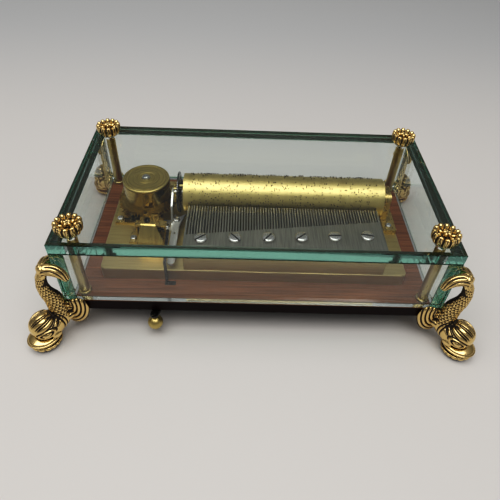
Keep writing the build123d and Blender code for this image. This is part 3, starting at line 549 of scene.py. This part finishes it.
lumps = limb([(0.0098, 0, 0.0132, 0.0072), (0.0060, 0, 0.0138, 0.0062), (0.0044, 0, 0.0170, 0.0056),
              (0.0042, 0, 0.0240, 0.0052),
              (0.0050, 0, 0.0300, 0.0046), (0.0070, 0, 0.0362, 0.0037), (0.0078, 0, 0.0420, 0.0031),
              (0.0070, 0, 0.0475, 0.0028), (0.0044, 0, 0.0516, 0.0028)])
lumps.append(lump((0.0142, 0, 0.0150), (0.0084, 0.0080, 0.0082)))
lumps.append(lump((0.0168, 0, 0.0066), (0.0094, 0.0082, 0.0027)))
lumps.append(lump((0.0164, 0, 0.0028), (0.0088, 0.0080, 0.0029)))
for side in (-1, 1):
    lumps += limb([(*(spot * (1, side, 1) / 1000), np.interp(run, range(4), LOBE_RADII) / 1000)
                   for run, spot in zip(LOBE_RUN, LOBE_FINE)])
    lumps.append(lump((-0.0033, 0.0052 * side, 0.0168), (0.0068, 0.0027, 0.0104), (0, radians(-14), -pi / 4 * side)))
    lumps.append(lump((0.0118, 0.0064 * side, 0.0100), (0.0030, 0.0018, 0.0022)))
bpy.ops.mesh.primitive_cube_add(size=1, location=(-0.0035, 0, 0.0150), scale=(0.017, 0.011, 0.004))
lumps.append(bpy.context.object)
dolphin = melt(lumps, "dolphin", 0.00027, 2)
mesh = dolphin.data
p = np.array([v.co for v in mesh.vertices])
n = np.array([v.normal for v in mesh.vertices])
x, y, z = p[:, 0] * 1000, p[:, 1] * 1000, p[:, 2] * 1000
side_y = np.abs(y)

# Flutes in pairs that fan out from the neck over the forehead, and the rings behind the cheek.
ahead_x, lift_x = 0.84, 0.54
forward = ((x - HEAD_X) * ahead_x - (z - HEAD_Z) * lift_x) / 8.2
over = (x - HEAD_X) * lift_x + (z - HEAD_Z) * ahead_x
turn = np.degrees(np.arctan2(side_y, over)) + 5 * np.sin(forward * 2.5)
brow = np.sqrt(((x - HEAD_X) / 8.4) ** 2 + (y / 8.0) ** 2 + ((z - HEAD_Z) / 8.2) ** 2)
head = ramp(brow, 1.22, 1.08) * ramp(x, 4.0, 6.5) * ramp(z, 8.4, 9.6)
dip = np.zeros(len(p))
for middle in (9, 17, 36, 45, 66, 76, 98):
    dip = np.maximum(dip, valley(turn, middle, 2.3 + 0.02 * middle))
dip = 0.85 * dip * head * ramp(forward, 0.52, 0.30)
dip = np.maximum(dip, 0.45 * ramp(forward, -0.84, -0.98) * head * ramp(z, 15.5, 17.5))
cheek = np.hypot(x - 15.0, z - 13.2)
rings = np.maximum(valley(cheek, 9.3, 0.42), valley(cheek, 11.2, 0.42))
dip = np.maximum(dip, 0.7 * rings * ramp(x, 15, 11) * ramp(z, 2.5, 4.5) * ramp(side_y, 1.5, 3.5) * ramp(x, 2.0, 4.0))

# The mouth line, the crease under the forehead, wrinkles on the lips, and the eye in its lids.
front = ramp(x, 8.0, 11.0)
dip = np.maximum(dip, 1.0 * valley(z, 4.5 + 0.04 * (x - 16), 0.50) * front)
dip = np.maximum(dip, 0.9 * valley(brow, 1.04, 0.045) * ramp(z, 11.0, 10.0) * front)
spread_deg = np.degrees(np.arctan2(side_y, x - HEAD_X))
dip = np.maximum(dip, 0.28 * (0.5 + 0.5 * np.cos(np.radians(spread_deg) * 16)) ** 2 * front * ramp(z, 4.4, 3.4))
dip = np.maximum(dip, 0.35 * valley(z, 7.4, 0.30) * front * ramp(brow, 1.10, 1.2))
eye = np.hypot((spread_deg - 70) / 25, (z - 13.5 - 0.03 * (spread_deg - 70)) / 2.1)
seen = ramp(side_y, 2.5, 3.5) * ramp(x, 8.0, 10.0) * (brow < 1.3)
dip = dip * (1 - seen * ramp(eye, 2.3, 1.7))
dip = np.maximum(dip, 0.85 * valley(eye, 1.0, 0.20) * seen)
dip = np.maximum(dip, 0.7 * valley(eye, 1.8, 0.18) * seen * ramp(z, 12.4, 13.4))
rise = (0.55 * ramp(eye, 0.75, 0.3) + 0.35 * valley(eye, 1.42, 0.2)) * seen

# Scales in offset rows up the back, and fine flutes along the tail and its fluke.
axis_x = np.interp(z, SPINE[:, 1] * 1000, SPINE[:, 0] * 1000)
turn = np.degrees(np.arctan2(y, x - axis_x))
row = z / 1.75
column = turn / 25.7 + 0.5 * (np.floor(row) % 2)
across = np.abs(column - np.floor(column) - 0.5) * 2
up_row = row - np.floor(row)
scale = np.hypot(across, 1 - up_row)
back = (ramp(z, 16.5, 19.0) * ramp(z, 50.0, 47.0) * ramp(np.hypot(x - axis_x, y), 8.5, 7.0)
        * (1 - ramp(x, 9.5, 11.5) * ramp(z, 24, 20)))
dip = np.maximum(dip, 0.62 * ramp(scale, 0.76, 1.10) * back)
tail = ramp(z, 43.5, 46.5) * ramp(side_y, 4.0, 2.8)
dip = np.maximum(dip, 0.22 * (0.5 + 0.5 * np.cos(np.radians(turn) * 9 + (z - 46) * 0.5)) ** 2 * tail)
here = np.stack([x, side_y, z], 1)
nearest = np.full(len(p), 1e9)
strand = np.zeros(len(p))
run = 0.0
for a, b in zip(LOBE_FINE, LOBE_FINE[1:]):
    along = b - a
    length = np.linalg.norm(along)
    share = np.clip((here - a) @ along / length ** 2, 0, 1)
    out = here - (a + share[:, None] * along)
    gap = np.linalg.norm(out, axis=1)
    over = np.cross(along / length, (0.6, 0.0, 0.8))
    over /= np.linalg.norm(over)
    above = np.cross(over, along / length)
    angle = np.arctan2(out @ over, out @ above)
    closer = gap < nearest
    strand[closer] = (8 * angle + 0.55 * (run + share * length))[closer]
    nearest = np.minimum(gap, nearest)
    run += length
fluke = ramp(side_y, 1.6, 3.0) * ramp(z, 42.0, 44.0)
dip = np.maximum(dip, 0.55 * (0.5 + 0.5 * np.cos(strand)) ** 2 * fluke)

# Shell fins: nested crescents that open from a hinge low beside the corner.
along = (side_y - x) / sqrt(2)
proud = (side_y + x) / sqrt(2)
crescent = np.hypot(along - 2.6, (z - 22.5) / 1.40)
fin = ramp(proud, 0.3, 1.2) * ramp(proud, 6.2, 4.8) * ramp(along, 1.0, 2.6) * ramp(z, 29, 28)
ridge = (0.5 + 0.5 * np.cos(2 * pi * (crescent - 2.4) / 2.2)) ** 3
dip = np.maximum(dip, 0.85 * ridge * fin * ramp(crescent, 1.2, 1.8))
p = p + n * ((rise - dip) / 1000)[:, None]
p[:, 2] = np.maximum(p[:, 2], 0.0)
mesh.vertices.foreach_set("co", p.astype(np.float32).ravel())
mesh.update()
# Painted shade: the gilt is darkened low down near the table, on faces turned downward, and inside the fluke's curl.
underside_shade = ramp(z, 3.0, 0.3) * 0.5 + ramp(n[:, 2], -0.5, -0.95) * 0.3
curl_shade = ramp(n[:, 0], 0.15, -0.95) * ramp(z, 26, 32) * ramp(z, 51, 47) * ramp(side_y, 3.4, 2.2)
store_depth_and_shade(dolphin, dip / 0.70 + underside_shade + 0.7 * curl_shade + 0.9 * np.clip(hollows(dolphin, 12), 0, 1))
dolphin.data.materials.append(antique_gilt)
for name, sx, sy in (("front_left", -1, -1), ("front_right", 1, -1), ("back_left", -1, 1), ("back_right", 1, 1)):
    foot = bpy.data.objects.new("dolphin_" + name, dolphin.data.copy())
    bpy.context.collection.objects.link(foot)
    place = Matrix.Translation((sx * CASE_HALF[0], sy * CASE_HALF[1], 0)) @ Matrix.Rotation(atan2(sy, sx), 4, "Z")
    foot.data.transform(place)
    bpy.ops.mesh.primitive_cube_add(size=1, location=(0, 0, 0.0435),
                                    scale=(2 * CASE_HALF[0] + AIR, 2 * CASE_HALF[1] + AIR, 0.053))
    carve(foot, [bpy.context.object])
    well = (sx * (CASE_HALF[0] - 0.0064), sy * (CASE_HALF[1] - 0.0064))
    bpy.ops.mesh.primitive_cylinder_add(vertices=32, radius=0.0029, depth=0.0166, location=(*well, 0.0063))
    carve(foot, [bpy.context.object])
    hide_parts("dolphin_foot_" + name)
    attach(foot, "root")
bpy.data.objects.remove(dolphin, do_unlink=True)
bpy.ops.object.select_all(action="DESELECT")

# ---- bedplate and brass frame -------------------------------------------------------------
# A thick brass bedplate, ground lengthwise on top and painted dark as shade under the comb and
# cylinder, with the comb's platform, the barrel's bridge and the governor's stand and cock screwed to it.
brushed_brass = streaked("brushed_brass", 1.0, (40, 2600, 2600), (0.42, 0.32, 0.14), (0.56, 0.445, 0.20),
                         0.30, 0.42, 0.30)
paint(brushed_brass, "comb_platform")

bed_brass = streaked("bed_brass", 1.0, (40, 2600, 2600), (0.36, 0.275, 0.115), (0.50, 0.395, 0.175),
                     0.30, 0.42, 0.30)
nodes, links = bed_brass.node_tree.nodes, bed_brass.node_tree.links
place = nodes.new("ShaderNodeTexCoord")
axes = nodes.new("ShaderNodeSeparateXYZ")
links.new(place.outputs["Object"], axes.inputs["Vector"])
shade = None
for axis, near, far in (("X", -0.043, 0.075), ("Y", -0.031, 0.020)):
    for edge, way in ((near, 1), (far, -1)):
        side = nodes.new("ShaderNodeMapRange")
        side.interpolation_type = "SMOOTHSTEP"
        side.inputs["From Min"].default_value = edge
        side.inputs["From Max"].default_value = edge + 0.003 * way
        links.new(axes.outputs[axis], side.inputs["Value"])
        if shade is None:
            shade = side.outputs["Result"]
            continue
        both = nodes.new("ShaderNodeMath")
        both.operation = "MULTIPLY"
        links.new(shade, both.inputs[0])
        links.new(side.outputs["Result"], both.inputs[1])
        shade = both.outputs["Value"]
# Painted shade: inside this mask under the comb and cylinder, the grain colour is mixed towards near black.
painted_bed_shade = nodes.new("ShaderNodeMix")
painted_bed_shade.data_type = "RGBA"
painted_bed_shade.inputs["B"].default_value = (0.035, 0.028, 0.018, 1)
links.new(shade, painted_bed_shade.inputs["Factor"])
links.new(nodes["grain"].outputs["Colour"], painted_bed_shade.inputs["A"])
links.new(painted_bed_shade.outputs["Result"], nodes["Principled BSDF"].inputs["Base Color"])
paint(bed_brass, "bedplate")
frame_brass = streaked("frame_brass", 1.0, (300, 300, 300), (0.40, 0.29, 0.10), (0.55, 0.42, 0.17), 0.22, 0.36, 0.10)
paint(frame_brass, "right_bearing", "barrel_bridge", "governor_frame", "governor_cock",
      "governor_first_wheel", "governor_second_wheel")
nickel = streaked("nickel", 1.0, (900, 60, 300), (0.56, 0.55, 0.52), (0.68, 0.67, 0.64), 0.28, 0.36, 0.02)
paint(nickel, "left_bearing", "change_lever")
bright_steel = streaked("bright_steel", 1.0, (500, 500, 500), (0.55, 0.54, 0.52), (0.72, 0.71, 0.69),
                        0.14, 0.26, 0.06)
paint(bright_steel, "bracket_screws", "foot_screws", "bedplate_screws", "pivot_screws",
      "arbor_screw", "cylinder_arbor", "barrel_arbor", "comb_dampers")
dark_steel = streaked("dark_steel", 1.0, (400, 400, 400), (0.035, 0.033, 0.034), (0.085, 0.08, 0.08),
                      0.2, 0.32, 0.05)
paint(dark_steel, "cover_screw", "click", "click_spring", "shift_spring", "mainspring", "tune_wheel",
      "endless_screw", "stop_lever", "ratchet_wheel")

# ---- comb ---------------------------------------------------------------------------------
# One plate of hardened steel, ground across its width and slit into 72 teeth, with lead
# weights under the bass teeth. Six domed screws, their slots painted near black as shade, hold it to the platform.
comb_steel = streaked("comb_steel", 1.0, (1800, 60, 800), (0.18, 0.178, 0.155), (0.29, 0.285, 0.25),
                      0.32, 0.46, 0.12)
low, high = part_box("comb")
TEETH, BASS_ROOT, TREBLE_ROOT, SLIT_WIDTH = 72, -0.0284, -0.0134, 0.00076
SCREW_SPOTS = [(-0.0310 + 0.01878 * k, -0.0318 + 0.00096 * k) for k in range(6)]
pitch = (high[0] - low[0]) / TEETH
bpy.ops.mesh.primitive_cube_add(size=1, location=(low + high) / 2, scale=high - low)
comb_plate = bpy.context.object
comb_plate.name = "comb_plate"
bpy.ops.object.transform_apply(location=True, rotation=True, scale=True)

slits = []
for k in range(1, TEETH):
    slit_x = low[0] + k * pitch
    root = BASS_ROOT + (TREBLE_ROOT - BASS_ROOT) * k / TEETH
    reach = high[1] + 0.001 - root
    bpy.ops.mesh.primitive_cube_add(size=1, location=(slit_x, root + reach / 2, low[2]),
                                    scale=(SLIT_WIDTH, reach, 0.01))
    slits.append(bpy.context.object)
carve(comb_plate, slits)
holes = []
for spot in SCREW_SPOTS:
    bpy.ops.mesh.primitive_cylinder_add(vertices=24, radius=0.00164, depth=0.01, location=(*spot, low[2]))
    holes.append(bpy.context.object)
carve(comb_plate, holes)
comb_plate.data.materials.append(comb_steel)
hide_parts("comb")
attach(comb_plate, "root")

screw_steel = streaked("screw_steel", 1.0, (60, 900, 900), (0.60, 0.585, 0.56), (0.74, 0.725, 0.70),
                       0.16, 0.24, 0.02)
# Painted shade: the faces inside each screw slot take this near-black finish.
slot_shade = streaked("slot_shade", 0.0, (700, 700, 700), (0.008, 0.007, 0.006), (0.022, 0.019, 0.016), 0.6, 0.8, 0.0)
heads = []
for spot, slot_turn in zip(SCREW_SPOTS, (40, -48, 52, 40, 4, -12)):
    bpy.ops.mesh.primitive_cylinder_add(vertices=48, radius=0.0038, depth=0.0019, location=(*spot, 0.04695))
    head = bpy.context.object
    bpy.ops.object.transform_apply(location=True, rotation=True, scale=True)
    round_off = head.modifiers.new("dome", "BEVEL")
    round_off.width = 0.0011
    round_off.segments = 5
    round_off.angle_limit = radians(60)
    bpy.ops.object.modifier_apply(modifier="dome")
    bpy.ops.mesh.primitive_cube_add(size=1, location=(*spot, 0.0479), scale=(0.009, 0.0009, 0.0022),
                                    rotation=(0, 0, radians(slot_turn)))
    carve(head, [bpy.context.object])
    head.data.materials.clear()
    head.data.materials.append(screw_steel)
    head.data.materials.append(slot_shade)
    for face in head.data.polygons:
        out_x, out_y = face.center[0] - spot[0], face.center[1] - spot[1]
        offset = out_y * cos(radians(slot_turn)) - out_x * sin(radians(slot_turn))
        in_slot = abs(offset) < 0.00047 and hypot(out_x, out_y) < 0.0036
        face.material_index = 1 if in_slot and 0.0466 < face.center[2] < 0.04785 else 0
    bpy.ops.mesh.primitive_cylinder_add(vertices=24, radius=0.0016, depth=0.0092, location=(*spot, 0.0414))
    bpy.context.object.data.materials.append(screw_steel)
    heads += [head, bpy.context.object]
for one in heads:
    one.select_set(True)
bpy.context.view_layer.objects.active = heads[0]
bpy.ops.object.join()
comb_heads = bpy.context.object
comb_heads.name = "comb_screw_heads"
bpy.ops.object.transform_apply(location=True, rotation=True, scale=True)
bpy.ops.object.shade_smooth_by_angle(angle=radians(25))
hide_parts("comb_screws")
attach(comb_heads, "root")
bpy.ops.object.select_all(action="DESELECT")

lead = streaked("lead", 1.0, (700, 700, 700), (0.06, 0.06, 0.065), (0.12, 0.12, 0.125), 0.5, 0.65, 0.2)
paint(lead, "comb_weights")

# ---- cylinder -----------------------------------------------------------------------------
# A turned brass tube with brass end caps, and the brass crown wheel that drives it. Steel pins
# stand out of the tube in rows, one row for each tooth and tune.
turned_brass = streaked("turned_brass", 1.0, (300, 40, 40), (0.485, 0.385, 0.15), (0.56, 0.45, 0.185),
                        0.34, 0.40, 0.0)
paint(turned_brass, "stop_knob", "winding_key", "cylinder_tube", "cylinder_left_cap", "cylinder_right_cap",
      "great_wheel")

bpy.ops.mesh.primitive_cylinder_add(vertices=6, radius=0.00034, depth=0.0010, location=(0, 0, 0.0118))
pin = bpy.context.object
bpy.ops.object.transform_apply(location=True, rotation=True, scale=True)
bpy.ops.object.mode_set(mode="EDIT")
bpy.ops.mesh.select_all(action="DESELECT")
bpy.ops.object.mode_set(mode="OBJECT")
for face in pin.data.polygons:
    face.select = face.normal.z > 0.9
bpy.ops.object.mode_set(mode="EDIT")
bpy.ops.transform.resize(value=(0.6, 0.6, 1))
bpy.ops.mesh.select_all(action="SELECT")
bpy.ops.object.mode_set(mode="OBJECT")
one = np.array([v.co for v in pin.data.vertices])
faces = [list(face.vertices) for face in pin.data.polygons]
bpy.data.objects.remove(pin, do_unlink=True)
tube_low, tube_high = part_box("cylinder_tube")
axis_y, axis_z = (tube_low[1] + tube_high[1]) / 2, (tube_low[2] + tube_high[2]) / 2
draw = np.random.default_rng(7)
comb_low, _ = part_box("comb")
TUNES, TUNE_STEP = 3, 0.0004
all_points, all_faces = [], []
for tooth in range(TEETH):
    for tune in range(TUNES):
        where_x = comb_low[0] + (tooth + 0.5) * pitch + (tune - 1) * TUNE_STEP
        notes = draw.choice(150, size=draw.integers(4, 9), replace=False)
        for note in notes:
            angle = radians(10 + note * 2.3)
            turned = one @ np.array(Matrix.Rotation(angle, 3, "X")).T + (where_x, axis_y, axis_z)
            base = len(all_points) * len(one)
            all_points.append(turned)
            all_faces += [[base + k for k in face] for face in faces]
pins_mesh = bpy.data.meshes.new("music_pins")
pins_mesh.from_pydata(np.concatenate(all_points).tolist(), [], all_faces)
music_pins = bpy.data.objects.new("music_pins", pins_mesh)
bpy.context.collection.objects.link(music_pins)
pin_steel = streaked("pin_steel", 0.0, (800, 800, 800), (0.018, 0.012, 0.006), (0.06, 0.042, 0.02), 0.6, 0.8, 0.0)
music_pins.data.materials.append(pin_steel)
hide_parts("cylinder_pins")
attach(music_pins, "cylinder")

# ---- barrel -------------------------------------------------------------------------------
# A polished brass drum that holds the mainspring. Its pressed lid has a rounded rim and a face
# turned in fine rings, with two shallow grooves.
polished_brass = streaked("polished_brass", 1.0, (300, 300, 1500), (0.36, 0.26, 0.085), (0.48, 0.36, 0.13),
                          0.14, 0.24, 0.08)
paint(polished_brass, "barrel_drum")


def make_turning():
    """Fine rings round an upright axis: a colour, a roughness and a height."""
    group, source, sink = node_group(
        "turning",
        [("Vector", "Vector", None), ("Low Colour", "Color", (0, 0, 0, 1)), ("High Colour", "Color", (1, 1, 1, 1))],
        [("Colour", "Color"), ("Roughness", "Float"), ("Height", "Float")])
    flat = group.nodes.new("ShaderNodeVectorMath")
    flat.operation = "MULTIPLY"
    flat.inputs[1].default_value = (1, 1, 0)
    group.links.new(source.outputs["Vector"], flat.inputs[0])
    radius = group.nodes.new("ShaderNodeVectorMath")
    radius.operation = "LENGTH"
    group.links.new(flat.outputs["Vector"], radius.inputs[0])
    rings = group.nodes.new("ShaderNodeTexNoise")
    rings.noise_dimensions = "1D"
    rings.inputs["Scale"].default_value = 2200.0
    rings.inputs["Detail"].default_value = 3.0
    group.links.new(radius.outputs["Value"], rings.inputs["W"])
    colour = group.nodes.new("ShaderNodeMix")
    colour.data_type = "RGBA"
    group.links.new(rings.outputs["Fac"], colour.inputs["Factor"])
    group.links.new(source.outputs["Low Colour"], colour.inputs["A"])
    group.links.new(source.outputs["High Colour"], colour.inputs["B"])
    gloss = group.nodes.new("ShaderNodeMapRange")
    gloss.inputs["To Min"].default_value = 0.20
    gloss.inputs["To Max"].default_value = 0.38
    group.links.new(rings.outputs["Fac"], gloss.inputs["Value"])
    group.links.new(colour.outputs["Result"], sink.inputs["Colour"])
    group.links.new(gloss.outputs["Result"], sink.inputs["Roughness"])
    group.links.new(rings.outputs["Fac"], sink.inputs["Height"])
    return group


lid_brass = bpy.data.materials.new("lid_brass")
lid_brass.use_nodes = True
nodes, links = lid_brass.node_tree.nodes, lid_brass.node_tree.links
nodes["Principled BSDF"].inputs["Metallic"].default_value = 1.0
place = nodes.new("ShaderNodeTexCoord")
mapping = nodes.new("ShaderNodeMapping")
mapping.inputs["Location"].default_value = (0.0665, -0.0095, 0)
turned = nodes.new("ShaderNodeGroup")
turned.node_tree = make_turning()
turned.inputs["Low Colour"].default_value = (0.40, 0.30, 0.10, 1)
turned.inputs["High Colour"].default_value = (0.58, 0.46, 0.18, 1)
links.new(place.outputs["Object"], mapping.inputs["Vector"])
links.new(mapping.outputs["Vector"], turned.inputs["Vector"])
for wire, socket in (("Colour", "Base Color"), ("Roughness", "Roughness")):
    links.new(turned.outputs[wire], nodes["Principled BSDF"].inputs[socket])
low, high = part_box("barrel_lid")
middle = (low + high) / 2
bpy.ops.mesh.primitive_cylinder_add(vertices=96, radius=(high[0] - low[0]) / 2, depth=high[2] - low[2],
                                    location=middle)
lid = bpy.context.object
lid.name = "lid_pressing"
bpy.ops.object.transform_apply(location=True, rotation=True, scale=True)
rim = lid.modifiers.new("rim", "BEVEL")
rim.width = 0.0009
rim.segments = 5
rim.angle_limit = radians(60)
bpy.ops.object.modifier_apply(modifier="rim")
for radius in (0.0121, 0.0052):
    bpy.ops.mesh.primitive_torus_add(major_radius=radius, minor_radius=0.00022, major_segments=72, minor_segments=8,
                                     location=(middle[0], middle[1], high[2]))
    carve(lid, [bpy.context.object])
lid.select_set(True)
bpy.context.view_layer.objects.active = lid
bpy.ops.object.shade_smooth_by_angle(angle=radians(25))
lid.data.materials.clear()
lid.data.materials.append(lid_brass)
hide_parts("barrel_lid")
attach(lid, "barrel")
bpy.ops.object.select_all(action="DESELECT")

# ---- governor cover -----------------------------------------------------------------------
# A strip of sheet brass bent over the governor with a rounded fold: a narrow slotted top held by
# a blued screw, and a broad sloping front.
low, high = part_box("governor_cover")
THICK = 0.0008
bpy.ops.mesh.primitive_grid_add(x_subdivisions=1, y_subdivisions=2, size=1, location=(0, 0, 0))
cover = bpy.context.object
cover.name = "cover_sheet"
rows = ((low[1] + THICK, 0.0324, -0.0694, -0.0526),
        (-0.0192, high[2], -0.0669, -0.0582),
        (high[1], high[2], -0.0673, -0.0636))
for k, (row_y, row_z, left_x, right_x) in enumerate(rows):
    cover.data.vertices[2 * k].co = (left_x, row_y, row_z)
    cover.data.vertices[2 * k + 1].co = (right_x, row_y, row_z)
bend = cover.modifiers.new("fold", "BEVEL")
bend.width = 0.0012
bend.segments = 5
bend.limit_method = "NONE"
bpy.ops.object.modifier_apply(modifier="fold")
gauge = cover.modifiers.new("gauge", "SOLIDIFY")
gauge.thickness = THICK
gauge.offset = -1
bpy.ops.object.modifier_apply(modifier="gauge")
arris = cover.modifiers.new("arris", "BEVEL")
arris.width = 0.00012
arris.segments = 2
arris.angle_limit = radians(50)
bpy.ops.object.modifier_apply(modifier="arris")
bpy.ops.mesh.primitive_cube_add(size=1, location=(-0.0653, -0.0091, high[2]), scale=(0.0015, 0.0036, 0.004))
carve(cover, [bpy.context.object])
cover.select_set(True)
bpy.context.view_layer.objects.active = cover
bpy.ops.object.shade_smooth_by_angle(angle=radians(25))
cover_brass = streaked("cover_brass", 1.0, (1400, 60, 60), (0.46, 0.33, 0.11), (0.60, 0.46, 0.17), 0.16, 0.26, 0.05)
cover.data.materials.clear()
cover.data.materials.append(cover_brass)
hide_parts("governor_cover")
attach(cover, "root")
bpy.ops.object.select_all(action="DESELECT")
